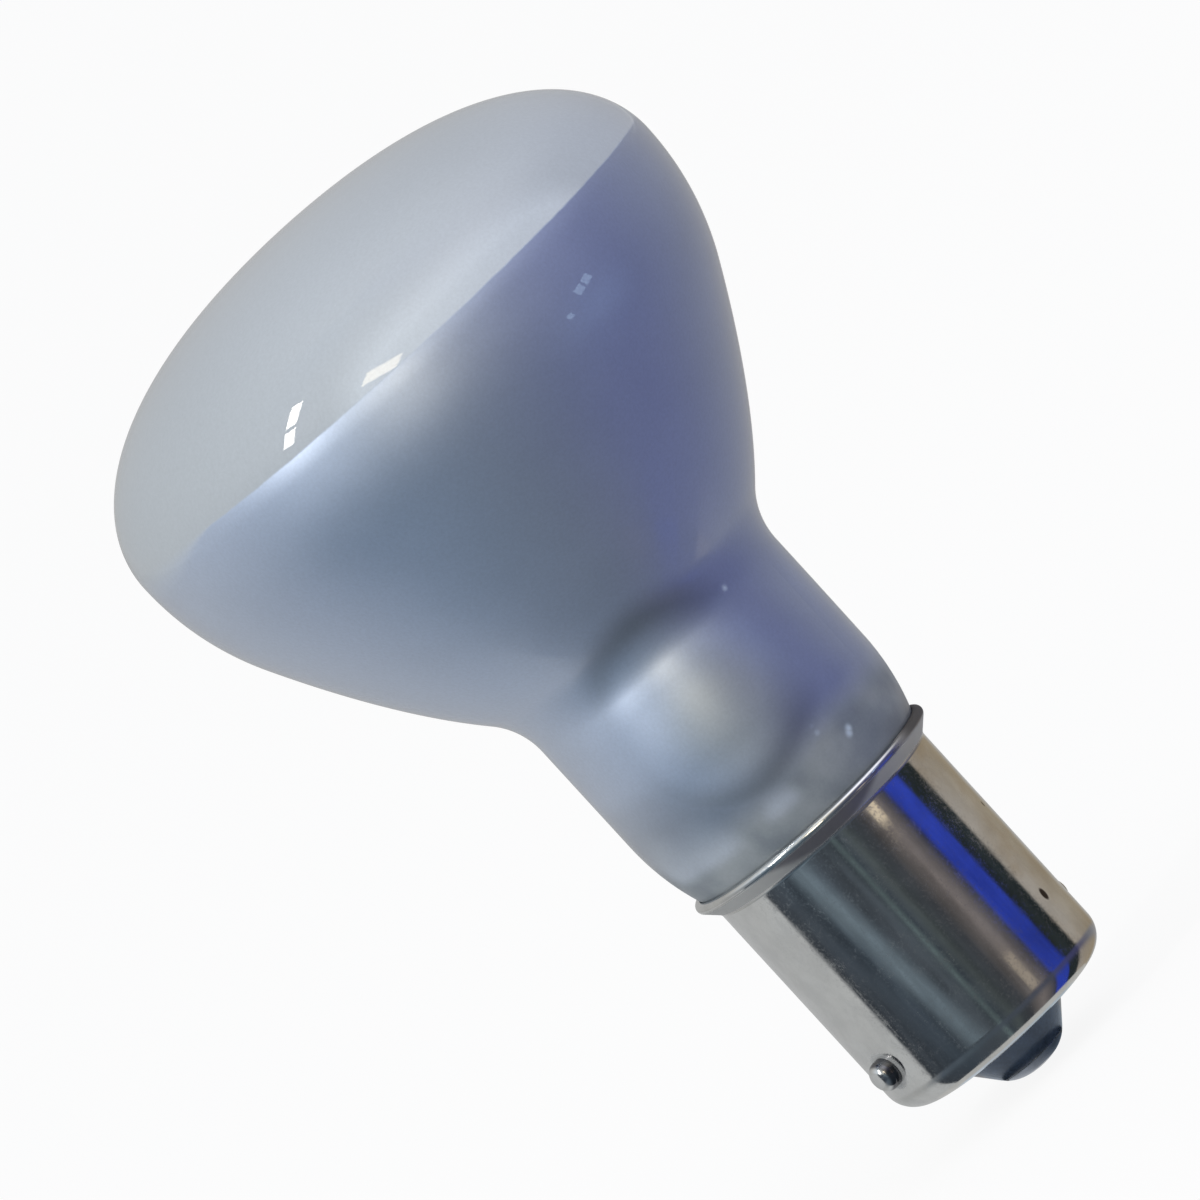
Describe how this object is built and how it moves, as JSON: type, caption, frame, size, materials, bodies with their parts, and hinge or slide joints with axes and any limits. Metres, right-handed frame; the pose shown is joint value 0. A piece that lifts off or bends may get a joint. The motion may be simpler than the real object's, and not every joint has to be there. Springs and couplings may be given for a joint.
{
  "type": "reflector light bulb",
  "caption": "Small reflector light bulb with a frosted domed face, a mirrored flank and a plated bayonet cap with side pins and a soldered centre contact.",
  "frame": {"origin": "lowest point of the centre contact, on the lamp's axis", "axes": "+Z along the lamp's axis from the contact to the face; the bayonet pins lie on the X axis"},
  "size_m": [0.0381, 0.038, 0.0634],
  "materials": {
    "bulb_glass": "blown glass, mirrored inside up to just above its widest ring and frosted on the face",
    "plated_shell": "nickel plate with fine handling marks",
    "plated_pin": "nickel plate",
    "dark_glass": "moulded black insulating glass",
    "solder": "dull solder",
    "cement": "matt basing cement",
    "lead_wire": "bare wire"
  },
  "bodies": {
    "root": {"glass_bulb": "bulb_glass", "base_shell": "plated_shell", "bayonet_pin_1": "plated_pin", "bayonet_pin_2": "plated_pin", "insulator": "dark_glass", "contact_eyelet": "solder", "basing_cement": "cement", "contact_lead": "lead_wire", "shell_lead": "lead_wire"}
  },
  "joints": []
}
